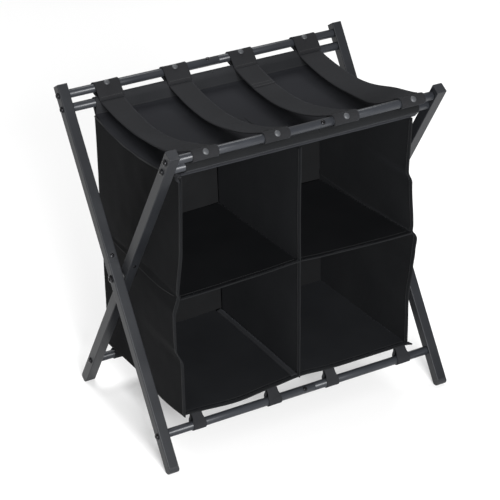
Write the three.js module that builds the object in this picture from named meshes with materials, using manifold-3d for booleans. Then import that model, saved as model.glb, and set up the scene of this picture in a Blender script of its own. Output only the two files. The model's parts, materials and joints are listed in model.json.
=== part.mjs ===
// A cube storage unit: a folding X-frame of square tube and round rods, with webbing straps over
// its top and a soft organiser with four cubbies hung between its rods.
// Millimetres, +Z up, +X to the right along the rods, the open front towards -Y. The origin is on
// the floor, in the middle of the frame.
import * as THREE from "three";
import { mergeVertices } from "three/addons/utils/BufferGeometryUtils.js";
import Module from "manifold-3d";

const wasm = await Module();
wasm.setup();

// Clearance between pieces that touch.
const GAP = 0.3;

// Legs: square tube, two halves to a leg, crossing at the pivot.
const FRAME_WIDTH = 602;
const SPLAY = THREE.MathUtils.degToRad(31.75);
const LEG_ABOVE = 358;
const LEG_BELOW = 362;
const TUBE = 20;
const TUBE_WALL = 1.2;
const TUBE_CORNER = 1.6;
const LEAST_CORNER = 0.4;
const FRAME_SPACING = 2;
const JOINT_ABOVE_PIVOT = 30;
const LEG_SPIGOT = 45;
const SPIGOT_ROOT = 4;
const PLUG_FLANGE = 1.5;
const PLUG_SHANK = 12;
const PLUG_BEVEL = 0.5;
const FOOT_COLLAR = 1;
const FOOT_WEAR = 0.4;

// Cross rods: round tube, two tubes to a rod, measured along a leg from its ends.
const ROD = 16;
const ROD_WALL = 1;
const UPPER_ROD_DOWN = 18.5;
const ROD_PITCH = 25.5;
const BOTTOM_ROD_UP = 70.5;
const LEFT_ROD_LENGTH = 307.5;
const ROD_SPIGOT = 40;
const ROD_END_WALL = 14;

// Fasteners.
const SCREW = 6;
const SCREW_HEAD = 12;
const SCREW_HEAD_HEIGHT = 3;
const SCREW_REACH = 10;
const BOLT = 8;
const BOLT_HEAD = 14;
const BOLT_HEAD_HEIGHT = 3.5;
const NUT = 13;
const NUT_HEIGHT = 5.5;
const NUT_SIDES = 6;
const SPACER = 17;
const HEAD_CROWN = 0.3;

// Straps over the upper rods.
const STRAP_WIDTH = 50;
const STRAP_THICKNESS = 1.8;
const STRAP_SAG = 45;
const STRAP_SIDE_ROOM = 24;
const STRAP_OFFSET = 4;
const STRAP_COUNT = 4;

// Organiser, hung from the lower top rods and tied to the bottom rods.
const ORGANIZER_SIDE_ROOM = 18;
const CLOTH = 2;
const SLEEVE_CLOTH = 1.7;
const SLEEVE_SKIRT = 11;
const ROOF_SAG = 17;
const UPPER_CUBBY_SHARE = 0.4903;
const FLOOR_ABOVE_ROD = 27;
const TAB_WIDTH = 36;
const TAB_SEAM = 4;
const OUTER_TAB_INSET = 18;
const INNER_TAB_OFFSET = 62;

// How finely round pieces are cut into flats.
const ROD_SIDES = 20;
const SCREW_SIDES = 14;
const HOLE_SIDES = 10;
const RING_SIDES = 12;
const CORNER_STEPS = 2;
const FOOT_STEPS = 6;
const HANG_STEPS = 14;

// What follows from the sizes above.
const FOOT_RADIUS = TUBE / 2;
const PIVOT_HEIGHT =
  (LEG_BELOW - FOOT_RADIUS) * Math.cos(SPLAY) + FOOT_RADIUS - FOOT_WEAR;
const UPPER_ROD_AT = LEG_ABOVE - UPPER_ROD_DOWN;
const LOWER_ROD_AT = UPPER_ROD_AT - ROD_PITCH;
const BOTTOM_ROD_AT = BOTTOM_ROD_UP - LEG_BELOW;
const TUBE_BORE = TUBE - 2 * TUBE_WALL;
// A ring's flats lie nearer its axis than its corners do, and it clears the rod by its flats.
const RING_BORE = (ROD / 2 + GAP) / Math.cos(Math.PI / RING_SIDES);
const FRAME_B_WIDTH = FRAME_WIDTH - 2 * (TUBE + FRAME_SPACING);
const ROOM_BETWEEN_LEGS = FRAME_B_WIDTH - 2 * TUBE;
const STRAP_SPREAD = ROOM_BETWEEN_LEGS - 2 * STRAP_SIDE_ROOM - STRAP_WIDTH;
const STRAP_PITCH = STRAP_SPREAD / (STRAP_COUNT - 1);
const ORGANIZER_WIDTH = ROOM_BETWEEN_LEGS - 2 * ORGANIZER_SIDE_ROOM;
const SLEEVE_RADIUS = RING_BORE + SLEEVE_CLOTH;
const EDGE_TOP_Y = LOWER_ROD_AT * Math.sin(SPLAY);
const EDGE_BOTTOM_Y = -BOTTOM_ROD_AT * Math.sin(SPLAY);
const BOTTOM_ROD_Z = BOTTOM_ROD_AT * Math.cos(SPLAY);
const ORGANIZER_TOP = LOWER_ROD_AT * Math.cos(SPLAY) - SLEEVE_RADIUS - SLEEVE_SKIRT;
const FLOOR_Z = BOTTOM_ROD_Z + FLOOR_ABOVE_ROD;
const SHELF_Z = ORGANIZER_TOP - (ORGANIZER_TOP - FLOOR_Z) * UPPER_CUBBY_SHARE;

const finishes = {
  frame: { color: 0x4a4f57, roughness: 0.45, metalness: 0.6 },
  fastener: { color: 0x17181a, roughness: 0.35, metalness: 0.8 },
  plug: { color: 0x4a4f57, roughness: 0.55, metalness: 0.1 },
  cloth: { color: 0x1d2022, roughness: 0.9, metalness: 0 },
  webbing: { color: 0x232423, roughness: 0.95, metalness: 0 },
};

// A geometry as a solid that can be joined and cut.
function solid(geometry) {
  const bare = geometry.index ? geometry.toNonIndexed() : geometry.clone();
  bare.deleteAttribute("normal");
  bare.deleteAttribute("uv");
  const merged = mergeVertices(bare, 1e-4);
  return new wasm.Manifold(
    new wasm.Mesh({
      numProp: 3,
      vertProperties: new Float32Array(merged.attributes.position.array),
      triVerts: new Uint32Array(merged.index.array),
    }),
  );
}

function geometryOf(body) {
  const mesh = body.getMesh();
  const geometry = new THREE.BufferGeometry();
  geometry.setAttribute("position", new THREE.BufferAttribute(mesh.vertProperties, 3));
  geometry.setIndex(new THREE.BufferAttribute(mesh.triVerts, 1));
  geometry.computeVertexNormals();
  return geometry;
}

function joined(...geometries) {
  return geometries.map(solid).reduce((whole, piece) => whole.add(piece));
}

function addMesh(group, name, geometry, finish, place = [0, 0, 0]) {
  const mesh = new THREE.Mesh(geometry, new THREE.MeshStandardMaterial(finishes[finish]));
  mesh.name = name;
  mesh.position.set(...place);
  group.add(mesh);
}

// Outlines and simple bodies.
function roundedSquare(side, corner) {
  const half = side / 2;
  const flat = half - corner;
  const shape = new THREE.Shape();
  shape.moveTo(flat, -half);
  shape.absarc(flat, -flat, corner, -Math.PI / 2, 0);
  shape.absarc(flat, flat, corner, 0, Math.PI / 2);
  shape.absarc(-flat, flat, corner, Math.PI / 2, Math.PI);
  shape.absarc(-flat, -flat, corner, Math.PI, 1.5 * Math.PI);
  return shape;
}

// The corner radius of a square nested in or over the tube's own outline.
function nestedCorner(side) {
  return Math.max(TUBE_CORNER - (TUBE - side) / 2, LEAST_CORNER);
}

// A square bar along Z, from low to high, hollow where it has a wall.
function squareBar(side, low, high, wall = 0) {
  const outline = roundedSquare(side, nestedCorner(side));
  const bore = side - 2 * wall;
  if (wall > 0) {
    outline.holes.push(roundedSquare(bore, nestedCorner(bore)));
  }
  const bar = new THREE.ExtrudeGeometry(outline, {
    depth: high - low,
    bevelEnabled: false,
    curveSegments: CORNER_STEPS,
  });
  return bar.translate(0, 0, low);
}

function boxBetween(low, high) {
  const size = high.map((value, axis) => value - low[axis]);
  const middle = high.map((value, axis) => (value + low[axis]) / 2);
  return new THREE.BoxGeometry(...size).translate(...middle);
}

// A body turned about the X axis, from [radius, x] corners whose outside runs towards +X. A
// profile that doesn't start on the axis is closed on itself.
function turnedAlongX(profile, sides) {
  const corners = profile.map(([radius, x]) => new THREE.Vector2(radius, -x));
  if (corners[0].x > 0) {
    corners.push(corners[0].clone());
  }
  return new THREE.LatheGeometry(corners.reverse(), sides).rotateZ(Math.PI / 2);
}

function pinAlongX(radius, from, to, sides = HOLE_SIDES) {
  const length = to - from;
  return new THREE.CylinderGeometry(radius, radius, length, sides)
    .rotateZ(Math.PI / 2)
    .translate((from + to) / 2, 0, 0);
}

// A flat outline in the YZ plane, carried along X from low to high.
function slabAlongX(outline, low, high, curveSegments = RING_SIDES / 2) {
  const slab = new THREE.ExtrudeGeometry(outline, {
    depth: high - low,
    bevelEnabled: false,
    curveSegments,
  });
  return slab.applyMatrix4(
    new THREE.Matrix4().set(0, 0, 1, low, 1, 0, 0, 0, 0, 1, 0, 0, 0, 0, 0, 1),
  );
}

function outlineOf(corners) {
  return new THREE.Shape(corners.map(([y, z]) => new THREE.Vector2(y, z)));
}

function ringOutline(y, z, inner, outer) {
  const ring = new THREE.Shape();
  ring.absarc(y, z, outer, 0, 2 * Math.PI);
  const hole = new THREE.Path();
  hole.absarc(y, z, inner, 0, 2 * Math.PI, true);
  ring.holes.push(hole);
  return ring;
}

// A band of one thickness along a line of [y, z] points, as a closed outline.
function bandOutline(points, thickness) {
  const line = points.map(([y, z]) => new THREE.Vector2(y, z));
  const sides = line.map((point, i) => {
    const before = line[Math.max(i - 1, 0)];
    const after = line[Math.min(i + 1, line.length - 1)];
    const along = after.clone().sub(before).normalize();
    return new THREE.Vector2(-along.y, along.x).multiplyScalar(thickness / 2);
  });
  const upper = line.map((point, i) => point.clone().add(sides[i]));
  const lower = line.map((point, i) => point.clone().sub(sides[i]));
  return new THREE.Shape([...upper, ...lower.reverse()]);
}

// A hanging curve between y = -half and y = +half, sagging below its ends by sag.
function hangingLine(half, endZ, sag) {
  return Array.from({ length: HANG_STEPS + 1 }, (_, i) => {
    const y = half * ((2 * i) / HANG_STEPS - 1);
    return [y, endZ - sag * (1 - (y / half) ** 2)];
  });
}

// Legs, in a leaning frame whose Z axis runs up the leg from the pivot.
function upperLeg() {
  const low = JOINT_ABOVE_PIVOT + GAP / 2;
  const tube = solid(squareBar(TUBE, low, LEG_ABOVE - PLUG_FLANGE - GAP, TUBE_WALL));
  const holes = [UPPER_ROD_AT, LOWER_ROD_AT].map((at) =>
    solid(pinAlongX(SCREW / 2 + GAP, -TUBE, TUBE).translate(0, 0, at)),
  );
  return geometryOf(holes.reduce((leg, hole) => leg.subtract(hole), tube));
}

function lowerLeg() {
  const low = -(LEG_BELOW - FOOT_RADIUS - FOOT_COLLAR - GAP);
  const high = JOINT_ABOVE_PIVOT - GAP / 2;
  const spigot = TUBE_BORE - 2 * GAP;
  const root = TUBE_BORE + TUBE_WALL;
  const rootWall = (root - spigot) / 2 + TUBE_WALL;
  const leg = joined(
    squareBar(TUBE, low, high, TUBE_WALL),
    squareBar(root, high - SPIGOT_ROOT, high, rootWall),
    squareBar(spigot, high - SPIGOT_ROOT, high + LEG_SPIGOT, TUBE_WALL),
  );
  const pivotHole = solid(pinAlongX(BOLT / 2 + GAP, -TUBE, TUBE));
  const rodHole = solid(pinAlongX(SCREW / 2 + GAP, -TUBE, TUBE).translate(0, 0, BOTTOM_ROD_AT));
  return geometryOf(leg.subtract(pivotHole).subtract(rodHole));
}

function topPlug() {
  const edge = LEG_ABOVE - PLUG_FLANGE;
  const flange = new THREE.ExtrudeGeometry(roundedSquare(TUBE, TUBE_CORNER), {
    depth: PLUG_FLANGE - PLUG_BEVEL,
    curveSegments: CORNER_STEPS,
    bevelThickness: PLUG_BEVEL,
    bevelSize: PLUG_BEVEL,
    bevelOffset: -PLUG_BEVEL,
    bevelSegments: 1,
  });
  const trim = squareBar(2 * TUBE, 0, edge);
  const head = solid(flange.translate(0, 0, edge)).subtract(solid(trim));
  const shank = squareBar(TUBE_BORE - 2 * GAP, edge - PLUG_SHANK, edge + PLUG_BEVEL);
  return geometryOf(head.add(solid(shank)));
}

// A foot: a cap that is half-round seen from the side, with the tube's own rounded corners all
// round, worn flat where it stands on the floor. A shank holds it in the tube.
function footCap(lean) {
  const centre = -(LEG_BELOW - FOOT_RADIUS);
  const high = centre + FOOT_COLLAR;
  const side = new THREE.Shape();
  side.moveTo(FOOT_RADIUS, high);
  side.lineTo(-FOOT_RADIUS, high);
  side.absarc(0, centre, FOOT_RADIUS, Math.PI, 2 * Math.PI);
  const section = squareBar(TUBE, -TUBE, TUBE);
  const front = section.clone().rotateX(Math.PI / 2).translate(0, 0, TUBE / 2 - LEG_BELOW);
  const cap = solid(slabAlongX(side, -TUBE, TUBE, FOOT_STEPS))
    .intersect(solid(section.translate(0, 0, -LEG_BELOW)))
    .intersect(solid(front));
  const shank = squareBar(TUBE_BORE - 2 * GAP, centre, high + PLUG_SHANK);
  const standsAt = centre * Math.sin(lean);
  const ground = boxBetween([-TUBE, -TUBE, -TUBE], [TUBE, TUBE, 0])
    .translate(0, standsAt, -PIVOT_HEIGHT)
    .rotateX(lean);
  return geometryOf(cap.add(solid(shank)).subtract(solid(ground)));
}

// Rods: the left tube takes the right tube's spigot. Both ends have a wall for the end screw.
function leftRod(left, joint) {
  const outer = ROD / 2;
  const bore = outer - ROD_WALL;
  const hole = SCREW / 2 + GAP;
  return turnedAlongX([
    [hole, left],
    [outer, left],
    [outer, joint - GAP],
    [bore, joint - GAP],
    [bore, left + ROD_END_WALL],
    [hole, left + ROD_END_WALL],
  ], ROD_SIDES);
}

function rightRod(joint, right) {
  const outer = ROD / 2;
  const bore = outer - ROD_WALL;
  const hole = SCREW / 2 + GAP;
  const spigot = bore - GAP;
  return turnedAlongX([
    [spigot - ROD_WALL, joint - ROD_SPIGOT],
    [spigot, joint - ROD_SPIGOT],
    [spigot, joint],
    [outer, joint],
    [outer, right],
    [hole, right],
    [hole, right - ROD_END_WALL],
    [bore, right - ROD_END_WALL],
    [bore, joint + SPIGOT_ROOT],
    [spigot - ROD_WALL, joint],
  ], ROD_SIDES);
}

// A screw along +X, its head's seat at x = 0 and its shank towards +X.
function headedPin(shank, head, headHeight, reach) {
  return turnedAlongX([
    [0, -headHeight],
    [head * HEAD_CROWN, -headHeight],
    [head / 2, -headHeight * HEAD_CROWN],
    [head / 2, 0],
    [shank / 2, 0],
    [shank / 2, reach],
    [0, reach],
  ], SCREW_SIDES);
}

function mirrored(geometry, side) {
  return side < 0 ? geometry : geometry.clone().rotateZ(Math.PI);
}

// One X-frame half: a pair of legs joined by three rods.
function addFrame(group, letter, lean, width, names) {
  const legX = (width - TUBE) / 2;
  const inner = width / 2 - TUBE - GAP;
  const joint = LEFT_ROD_LENGTH - inner;
  for (const [side, word] of [[-1, "left"], [1, "right"]]) {
    const x = side * legX;
    addMesh(group, `leg_${letter}_${word}_upper`, upperLeg(), "frame", [x, 0, 0]);
    addMesh(group, `leg_${letter}_${word}_lower`, lowerLeg(), "frame", [x, 0, 0]);
    addMesh(group, `top_plug_${letter}_${word}`, topPlug(), "plug", [x, 0, 0]);
    addMesh(group, `foot_cap_${letter}_${word}`, footCap(lean), "plug", [x, 0, 0]);
  }
  const heights = [UPPER_ROD_AT, LOWER_ROD_AT, BOTTOM_ROD_AT];
  names.forEach((name, i) => {
    const at = heights[i];
    addMesh(group, `${name}_rod_left`, leftRod(-inner, joint), "frame", [0, 0, at]);
    addMesh(group, `${name}_rod_right`, rightRod(joint, inner), "frame", [0, 0, at]);
    for (const [side, word] of [[-1, "left"], [1, "right"]]) {
      const screw = headedPin(SCREW, SCREW_HEAD, SCREW_HEAD_HEIGHT, TUBE + 2 * GAP + SCREW_REACH);
      const seat = side * (width / 2 + GAP);
      addMesh(group, `${name}_screw_${word}`, mirrored(screw, side), "fastener", [seat, 0, at]);
    }
  });
}

// Pivot hardware: a bolt with its nut, and a spacer between the crossing legs.
function addPivot(group, side, word) {
  const grip = 2 * TUBE + FRAME_SPACING + 2 * GAP;
  const bolt = joined(
    headedPin(BOLT, BOLT_HEAD, BOLT_HEAD_HEIGHT, grip + NUT_HEIGHT),
    pinAlongX(NUT / 2, grip, grip + NUT_HEIGHT, NUT_SIDES),
  );
  const seat = side * (FRAME_WIDTH / 2 + GAP);
  addMesh(group, `pivot_bolt_${word}`, mirrored(geometryOf(bolt), side), "fastener", [seat, 0, 0]);
  const hole = BOLT / 2 + GAP;
  const thickness = FRAME_SPACING - 2 * GAP;
  const spacer = turnedAlongX([
    [hole, 0],
    [SPACER / 2, 0],
    [SPACER / 2, thickness],
    [hole, thickness],
  ], SCREW_SIDES);
  const face = side * (FRAME_WIDTH / 2 - TUBE - GAP);
  addMesh(group, `pivot_spacer_${word}`, mirrored(spacer, side), "fastener", [face, 0, 0]);
}

// A strap: a loop round each upper rod and the sagging span between them.
function strap() {
  const y = UPPER_ROD_AT * Math.sin(SPLAY);
  const z = UPPER_ROD_AT * Math.cos(SPLAY);
  const middle = RING_BORE + STRAP_THICKNESS / 2;
  const leave = Math.atan((2 * STRAP_SAG) / y);
  const half = y - middle * Math.sin(leave);
  const endZ = z + middle * Math.cos(leave);
  const low = -STRAP_WIDTH / 2;
  const high = STRAP_WIDTH / 2;
  const span = bandOutline(hangingLine(half, endZ, STRAP_SAG), STRAP_THICKNESS);
  const loops = [-y, y].map((at) =>
    slabAlongX(ringOutline(at, z, RING_BORE, RING_BORE + STRAP_THICKNESS), low, high),
  );
  return geometryOf(joined(slabAlongX(span, low, high), ...loops));
}

// A sleeve round a lower top rod, with the skirt that carries the organiser's top edge.
function sleeve(side) {
  const y = side * EDGE_TOP_Y;
  const z = LOWER_ROD_AT * Math.cos(SPLAY);
  const half = ORGANIZER_WIDTH / 2;
  const ring = slabAlongX(ringOutline(y, z, RING_BORE, SLEEVE_RADIUS), -half, half);
  const skirt = boxBetween(
    [-half, y - CLOTH / 2, ORGANIZER_TOP + GAP],
    [half, y + CLOTH / 2, z - ROD / 2 - GAP - SLEEVE_CLOTH / 2],
  );
  return joined(ring, skirt);
}

// The organiser's front and rear faces lean in a little towards the floor panel.
function edgeY(z) {
  const share = (ORGANIZER_TOP - z) / (ORGANIZER_TOP - FLOOR_Z);
  return EDGE_TOP_Y + (EDGE_BOTTOM_Y - EDGE_TOP_Y) * share;
}

// The line under the roof panel, from the front edge to the wall at the back.
function underRoof(from, to) {
  return Array.from({ length: HANG_STEPS + 1 }, (_, i) => {
    const y = from + ((to - from) * i) / HANG_STEPS;
    return [y, ORGANIZER_TOP - CLOTH - GAP - ROOF_SAG * (1 - (y / EDGE_TOP_Y) ** 2)];
  });
}

// An upright panel of cloth that runs from front to back, below the roof panel.
function uprightPanel(x) {
  const foot = FLOOR_Z + CLOTH + GAP;
  const inset = CLOTH + GAP;
  const outline = outlineOf([
    [-edgeY(foot), foot],
    [edgeY(foot) - inset, foot],
    ...underRoof(edgeY(ORGANIZER_TOP) - inset, -edgeY(ORGANIZER_TOP)),
  ]);
  return slabAlongX(outline, x - CLOTH / 2, x + CLOTH / 2);
}

function addOrganizer(group) {
  const half = ORGANIZER_WIDTH / 2;
  const roofLine = hangingLine(EDGE_TOP_Y, ORGANIZER_TOP - CLOTH / 2, ROOF_SAG);
  const roof = slabAlongX(bandOutline(roofLine, CLOTH), -half, half);
  addMesh(group, "roof_panel", roof, "cloth");
  const wallTop = ORGANIZER_TOP - 2 * CLOTH;
  const wallFoot = FLOOR_Z + CLOTH + GAP;
  const wall = outlineOf([
    [edgeY(wallFoot) - CLOTH, wallFoot],
    [edgeY(wallFoot), wallFoot],
    [edgeY(wallTop), wallTop],
    [edgeY(wallTop) - CLOTH, wallTop],
  ]);
  addMesh(group, "rear_wall", slabAlongX(wall, -half, half), "cloth");
  addMesh(group, "side_panel_left", uprightPanel(-half + CLOTH / 2), "cloth");
  addMesh(group, "side_panel_right", uprightPanel(half - CLOTH / 2), "cloth");
  addMesh(group, "divider_panel", uprightPanel(0), "cloth");
  const depth = edgeY(SHELF_Z);
  const shelf = (low, high) =>
    boxBetween([low, -depth, SHELF_Z], [high, depth - CLOTH - 2 * GAP, SHELF_Z + CLOTH]);
  const near = CLOTH / 2 + GAP;
  const far = half - CLOTH - GAP;
  addMesh(group, "shelf_left", shelf(-far, -near), "cloth");
  addMesh(group, "shelf_right", shelf(near, far), "cloth");
  const floor = boxBetween(
    [-half, -EDGE_BOTTOM_Y, FLOOR_Z],
    [half, EDGE_BOTTOM_Y, FLOOR_Z + CLOTH],
  );
  addMesh(group, "floor_panel", floor, "cloth");
  addMesh(group, "tab_strip_front", tabStrip(-1), "cloth");
  addMesh(group, "tab_strip_rear", tabStrip(1), "cloth");
}

// A seam under the floor panel's edge, with four tabs that loop round a bottom rod.
function tabStrip(side) {
  const y = side * EDGE_BOTTOM_Y;
  const z = BOTTOM_ROD_Z;
  const half = ORGANIZER_WIDTH / 2;
  const seamTop = FLOOR_Z - GAP;
  const outer = RING_BORE + SLEEVE_CLOTH;
  const strip = boxBetween(
    [-half, y - CLOTH / 2, seamTop - TAB_SEAM],
    [half, y + CLOTH / 2, seamTop],
  );
  const outerTab = half - OUTER_TAB_INSET;
  const tabs = [-outerTab, -INNER_TAB_OFFSET, INNER_TAB_OFFSET, outerTab].flatMap((x) => {
    const low = x - TAB_WIDTH / 2;
    const high = x + TAB_WIDTH / 2;
    return [
      slabAlongX(ringOutline(y, z, RING_BORE, outer), low, high),
      boxBetween(
        [low, y - CLOTH / 2, z + outer - SLEEVE_CLOTH / 2],
        [high, y + CLOTH / 2, seamTop - TAB_SEAM / 2],
      ),
    ];
  });
  return geometryOf(joined(strip, ...tabs));
}

const unit = new THREE.Group();
const core = new THREE.Group();
core.position.z = PIVOT_HEIGHT;
unit.add(core);

const frameA = new THREE.Group();
frameA.rotation.x = -SPLAY;
core.add(frameA);
addFrame(frameA, "a", SPLAY, FRAME_WIDTH, ["rear_upper", "rear_lower", "front_bottom"]);

const frameB = new THREE.Group();
frameB.rotation.x = SPLAY;
core.add(frameB);
addFrame(frameB, "b", -SPLAY, FRAME_B_WIDTH, ["front_upper", "front_lower", "rear_bottom"]);

addPivot(core, -1, "left");
addPivot(core, 1, "right");

for (let i = 0; i < STRAP_COUNT; i += 1) {
  const x = STRAP_OFFSET + STRAP_PITCH * (i - (STRAP_COUNT - 1) / 2);
  addMesh(core, `strap_${i + 1}`, strap(), "webbing", [x, 0, 0]);
}

addMesh(core, "sleeve_rear", geometryOf(sleeve(1)), "cloth");
addMesh(core, "sleeve_front", geometryOf(sleeve(-1)), "cloth");
addOrganizer(core);

export default unit;
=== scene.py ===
import json
import math

import bmesh
import bpy
from mathutils import Matrix, Vector, noise


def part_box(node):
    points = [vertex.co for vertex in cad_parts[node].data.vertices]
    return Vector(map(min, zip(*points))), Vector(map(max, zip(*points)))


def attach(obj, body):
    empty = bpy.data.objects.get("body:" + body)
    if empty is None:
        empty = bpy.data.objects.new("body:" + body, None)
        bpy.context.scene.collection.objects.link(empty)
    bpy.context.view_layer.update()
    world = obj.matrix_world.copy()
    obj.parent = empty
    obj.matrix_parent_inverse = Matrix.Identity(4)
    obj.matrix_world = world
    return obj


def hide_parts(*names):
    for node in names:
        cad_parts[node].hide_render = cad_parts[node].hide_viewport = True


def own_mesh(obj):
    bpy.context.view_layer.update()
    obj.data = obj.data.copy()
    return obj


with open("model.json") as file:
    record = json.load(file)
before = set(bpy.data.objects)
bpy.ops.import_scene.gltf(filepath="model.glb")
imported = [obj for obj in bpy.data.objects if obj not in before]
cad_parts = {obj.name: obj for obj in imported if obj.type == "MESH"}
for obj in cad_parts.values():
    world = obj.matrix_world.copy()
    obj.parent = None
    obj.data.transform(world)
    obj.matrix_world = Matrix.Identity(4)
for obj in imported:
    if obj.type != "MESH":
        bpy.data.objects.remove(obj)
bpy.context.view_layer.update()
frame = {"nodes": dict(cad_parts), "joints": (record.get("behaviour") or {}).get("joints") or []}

MM = 0.001

# Camera.
EYE = Vector((-1.695, -2.8651, 1.9641))
YAW = math.radians(30.398)
PITCH = math.radians(26.758)
ROLL = math.radians(-0.908)
LENS_MM = 145.01
SENSOR_MM = 36.0


def add_camera():
    forward = Vector((math.sin(YAW) * math.cos(PITCH), math.cos(YAW) * math.cos(PITCH), -math.sin(PITCH)))
    level = Vector((math.cos(YAW), -math.sin(YAW), 0))
    upward = level.cross(forward)
    right = level * math.cos(ROLL) + upward * math.sin(ROLL)
    above = upward * math.cos(ROLL) - level * math.sin(ROLL)
    data = bpy.data.cameras.new("camera")
    data.lens = LENS_MM
    data.sensor_width = SENSOR_MM
    data.clip_end = 50
    camera = bpy.data.objects.new("camera", data)
    turn = Matrix((right, above, -forward)).transposed().to_4x4()
    camera.matrix_world = Matrix.Translation(EYE) @ turn
    bpy.context.scene.collection.objects.link(camera)
    bpy.context.scene.camera = camera


add_camera()

# ---------------------------------------------------------------- where the frame's pieces are
PIVOT_Z = frame["joints"][0]["pos_m"][2]
ROOF_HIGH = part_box("roof_panel")[1]
FLOOR_LOW, FLOOR_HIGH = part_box("floor_panel")
SHELF_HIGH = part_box("shelf_left")[1]
HALF_WIDTH = ROOF_HIGH.x
TOP_Y = ROOF_HIGH.y
TOP_Z = ROOF_HIGH.z
FOOT_Y = FLOOR_HIGH.y
BASE_Z = FLOOR_LOW.z
SHELF_Z = SHELF_HIGH.z


def axis_of(rod):
    low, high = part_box(rod)
    return (low.y + high.y) / 2, (low.z + high.z) / 2


# ---------------------------------------------------------------- materials
def node(tree, kind, **values):
    made = tree.nodes.new("ShaderNode" + kind)
    for key, value in values.items():
        if key in made.inputs:
            made.inputs[key].default_value = value
        else:
            setattr(made, key, value)
    return made


def new_finish(name, roughness, metallic=0.0, specular=0.5):
    finish = bpy.data.materials.new(name)
    finish.use_nodes = True
    shader = finish.node_tree.nodes["Principled BSDF"]
    shader.inputs["Roughness"].default_value = roughness
    shader.inputs["Metallic"].default_value = metallic
    shader.inputs["Specular IOR Level"].default_value = specular
    return finish, finish.node_tree, shader


def mottle(tree, coordinates, scale, dark, light, socket, detail=3.0):
    """Colour that wanders between two shades."""
    cloud = node(tree, "TexNoise", Scale=scale, Detail=detail)
    tree.links.new(coordinates, cloud.inputs["Vector"])
    ramp = node(tree, "ValToRGB")
    ramp.color_ramp.elements[0].position = 0.3
    ramp.color_ramp.elements[0].color = (*dark, 1)
    ramp.color_ramp.elements[1].position = 0.7
    ramp.color_ramp.elements[1].color = (*light, 1)
    tree.links.new(cloud.outputs["Fac"], ramp.inputs["Fac"])
    tree.links.new(ramp.outputs["Color"], socket)
    return cloud


def ranged(tree, value, low, high, socket):
    spread = node(tree, "MapRange")
    spread.inputs["To Min"].default_value = low
    spread.inputs["To Max"].default_value = high
    tree.links.new(value, spread.inputs["Value"])
    tree.links.new(spread.outputs["Result"], socket)


def woven(name, dark, light, thread, rib, roughness, sheen, relief):
    """Cloth whose threads run along its own flat cut, thread across by rib along, in metres."""
    finish, tree, shader = new_finish(name, roughness, specular=0.07)
    shader.inputs["Sheen Weight"].default_value = sheen
    shader.inputs["Sheen Roughness"].default_value = 0.45
    shader.inputs["Sheen Tint"].default_value = (0.75, 0.8, 0.9, 1)
    flat = node(tree, "UVMap", uv_map="cut")
    place = node(tree, "TexCoord")
    cloud = mottle(tree, place.outputs["Object"], 9.0, dark, light, shader.inputs["Base Color"], 5.0)
    ranged(tree, cloud.outputs["Fac"], roughness - 0.08, roughness + 0.08, shader.inputs["Roughness"])
    period = math.pi / 10
    across = node(tree, "TexWave", Scale=period / thread, Distortion=0.4, Detail=1.0)
    along = node(tree, "TexWave", Scale=period / rib, Distortion=0.4, Detail=1.0)
    along.bands_direction = "Y"
    weave = node(tree, "Math", operation="MULTIPLY")
    creases = node(tree, "TexNoise", Scale=26.0, Detail=3.0, Distortion=0.6)
    for wave in (across, along):
        tree.links.new(flat.outputs["UV"], wave.inputs["Vector"])
    tree.links.new(place.outputs["Object"], creases.inputs["Vector"])
    tree.links.new(across.outputs["Fac"], weave.inputs[0])
    tree.links.new(along.outputs["Fac"], weave.inputs[1])
    soft = node(tree, "Bump", Strength=0.35, Distance=relief * 12)
    fine = node(tree, "Bump", Strength=0.7, Distance=relief)
    tree.links.new(creases.outputs["Fac"], soft.inputs["Height"])
    tree.links.new(weave.outputs["Value"], fine.inputs["Height"])
    tree.links.new(soft.outputs["Normal"], fine.inputs["Normal"])
    tree.links.new(fine.outputs["Normal"], shader.inputs["Normal"])
    return finish


def coated(name, dark, light, roughness, metallic, grain, relief, specular=0.5):
    """A hard finish with a fine orange-peel skin and a slight drift in colour and gloss."""
    finish, tree, shader = new_finish(name, roughness, metallic, specular)
    place = node(tree, "TexCoord")
    cloud = mottle(tree, place.outputs["Object"], 14.0, dark, light, shader.inputs["Base Color"])
    ranged(tree, cloud.outputs["Fac"], roughness - 0.06, roughness + 0.06, shader.inputs["Roughness"])
    peel = node(tree, "TexNoise", Scale=grain, Detail=2.0)
    bump = node(tree, "Bump", Strength=0.5, Distance=relief)
    tree.links.new(place.outputs["Object"], peel.inputs["Vector"])
    tree.links.new(peel.outputs["Fac"], bump.inputs["Height"])
    tree.links.new(bump.outputs["Normal"], shader.inputs["Normal"])
    return finish


CLOTH_THREAD = 0.9 * MM
PAINT = coated(
    "grey_powder_coat",
    (0.0165, 0.0178, 0.0210),
    (0.0220, 0.0238, 0.0275),
    roughness=0.34,
    metallic=0.1,
    grain=1400.0,
    relief=0.00012,
    specular=0.2,
)
# Painted shade: a darker copy of the rods' grey powder coat, given to the legs; the frame's paint is one
# grey.
SHADED_LEG_PAINT = coated(
    "grey_powder_coat_painted_shade",
    (0.0088, 0.0095, 0.0112),
    (0.0124, 0.0134, 0.0154),
    roughness=0.40,
    metallic=0.1,
    grain=1400.0,
    relief=0.00012,
    specular=0.22,
)
CAP = coated(
    "grey_moulded_plastic",
    (0.0106, 0.0114, 0.0132),
    (0.0142, 0.0152, 0.0174),
    roughness=0.46,
    metallic=0.0,
    grain=900.0,
    relief=0.00012,
    specular=0.25,
)
BLACK_ZINC = coated(
    "black_zinc",
    (0.010, 0.010, 0.011),
    (0.022, 0.022, 0.024),
    roughness=0.24,
    metallic=0.85,
    grain=700.0,
    relief=0.00008,
)
NYLON = coated(
    "black_nylon",
    (0.012, 0.012, 0.013),
    (0.020, 0.020, 0.021),
    roughness=0.5,
    metallic=0.0,
    grain=600.0,
    relief=0.0001,
)
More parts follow.
